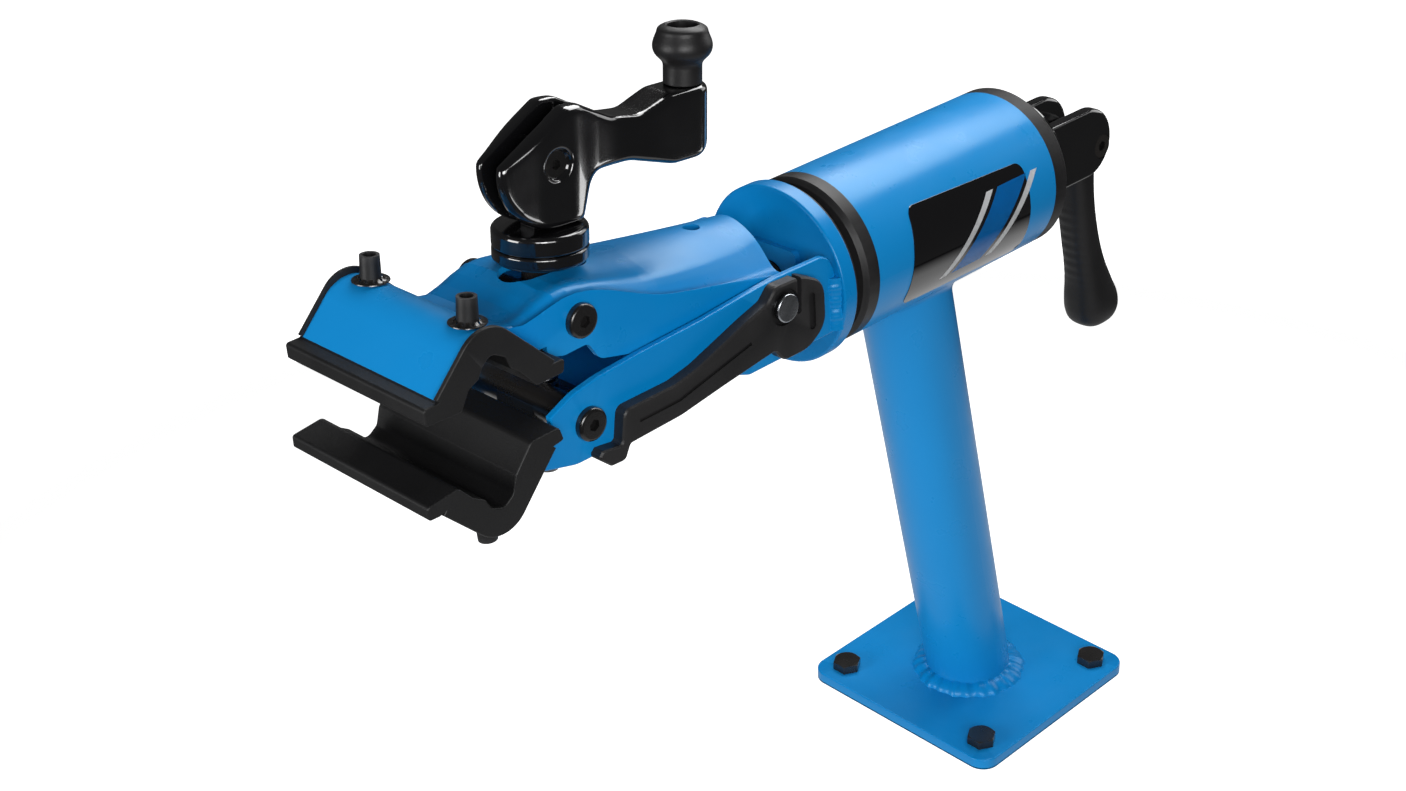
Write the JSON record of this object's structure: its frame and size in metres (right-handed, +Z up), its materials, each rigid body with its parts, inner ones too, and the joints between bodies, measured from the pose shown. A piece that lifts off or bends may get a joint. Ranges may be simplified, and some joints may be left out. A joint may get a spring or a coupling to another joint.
{
  "type": "bench-mount bike repair stand",
  "caption": "Leaning tubular post on a square bolt-down plate, with a turning clamp head whose cam-lever jaw closes on a bicycle tube.",
  "frame": {"origin": "centre of the base plate's lower face, where it rests on the bench", "axes": "+Z up along the bench normal, the jaws point to -Y, X runs across"},
  "size_m": [0.13, 0.5061, 0.4879],
  "materials": {
    "blue_enamel": "gloss",
    "black_enamel": "gloss",
    "black_oxide": "satin",
    "dark_steel": "satin",
    "zinc": "satin",
    "black_nylon": "matt",
    "cover_rubber": "matt",
    "label_film": "gloss"
  },
  "bodies": {
    "stand": {"base_plate": "blue_enamel", "base_bolts": "black_oxide", "post_tube": "blue_enamel", "base_weld": "blue_enamel", "post_weld": "blue_enamel", "barrel_tube": "blue_enamel", "front_bushing": "black_nylon", "rear_bushing": "black_nylon", "barrel_label": "label_film"},
    "head": {"flange_disc": "blue_enamel", "spindle": "dark_steel", "thrust_washer": "black_nylon", "spindle_plate": "blue_enamel", "draw_rod": "black_oxide", "draw_nut": "black_oxide", "rear_cap": "black_enamel", "lever_bolt": "black_oxide", "lower_jaw": "blue_enamel", "arm_weld": "blue_enamel", "lower_cover": "cover_rubber", "lower_retainers": "black_oxide", "jaw_pin": "zinc", "pin_clip": "zinc", "pin_spacer": "black_nylon", "arm_guard": "black_nylon", "lower_pivot_bolts": "black_oxide"},
    "upper_jaw": {"upper_jaw": "blue_enamel", "upper_cover": "cover_rubber", "upper_retainers": "black_oxide", "upper_pivot_bolts": "black_oxide"},
    "upper_trunnion": {"upper_trunnion": "black_oxide", "lower_disc": "black_enamel"},
    "clamp_screw": {"clamp_rod": "dark_steel", "upper_disc": "black_enamel"},
    "clamp_handle": {"clamp_handle": "black_enamel", "handle_pivot": "black_oxide", "knob_screw": "black_oxide"},
    "knob": {"handle_knob": "black_nylon"},
    "lower_nut": {"lower_nut_block": "black_oxide"},
    "rear_lever": {"rear_lever": "black_nylon"}
  },
  "joints": [
    {"name": "head_roll", "type": "hinge", "parent": "stand", "child": "head", "pos_m": [0, -0.1266, 0.3152], "axis": [0, -1, 0], "continuous": true},
    {"name": "jaw_hinge", "type": "hinge", "parent": "head", "child": "upper_jaw", "pos_m": [-0.00042, -0.192, 0.32629], "axis": [-0.9993, 0, -0.038], "range_deg": [-9, 15]},
    {"name": "upper_trunnion_tilt", "type": "hinge", "parent": "upper_jaw", "child": "upper_trunnion", "pos_m": [-0.00164, -0.29929, 0.35842], "axis": [-0.9993, 0, -0.038], "range_deg": [-7.5, 4.5]},
    {"name": "lower_nut_tilt", "type": "hinge", "parent": "head", "child": "lower_nut", "pos_m": [0.00004, -0.30333, 0.31405], "axis": [-0.9993, 0, -0.038], "range_deg": [-4.5, 7.5]},
    {"name": "screw_spin", "type": "hinge", "parent": "upper_trunnion", "child": "clamp_screw", "pos_m": [-0.00245, -0.28848, 0.37947], "axis": [-0.0379, 0.0906, 0.9952], "continuous": true},
    {"name": "handle_flip", "type": "hinge", "parent": "clamp_screw", "child": "clamp_handle", "pos_m": [-0.0038, -0.28425, 0.41491], "axis": [0.9993, 0, 0.038], "range_deg": [0, 150]},
    {"name": "knob_spin", "type": "hinge", "parent": "clamp_handle", "child": "knob", "pos_m": [-0.00444, -0.20188, 0.4318], "axis": [-0.0379, 0.0906, 0.9952], "continuous": true},
    {"name": "lever_swing", "type": "hinge", "parent": "head", "child": "rear_lever", "pos_m": [0.00016, 0.076, 0.311], "axis": [0.9993, 0, 0.038], "range_deg": [0, 100]}
  ],
  "couplings": [
    {"joint": "upper_trunnion_tilt", "follows": "jaw_hinge", "ratio": -0.5},
    {"joint": "lower_nut_tilt", "follows": "jaw_hinge", "ratio": 0.5}
  ]
}
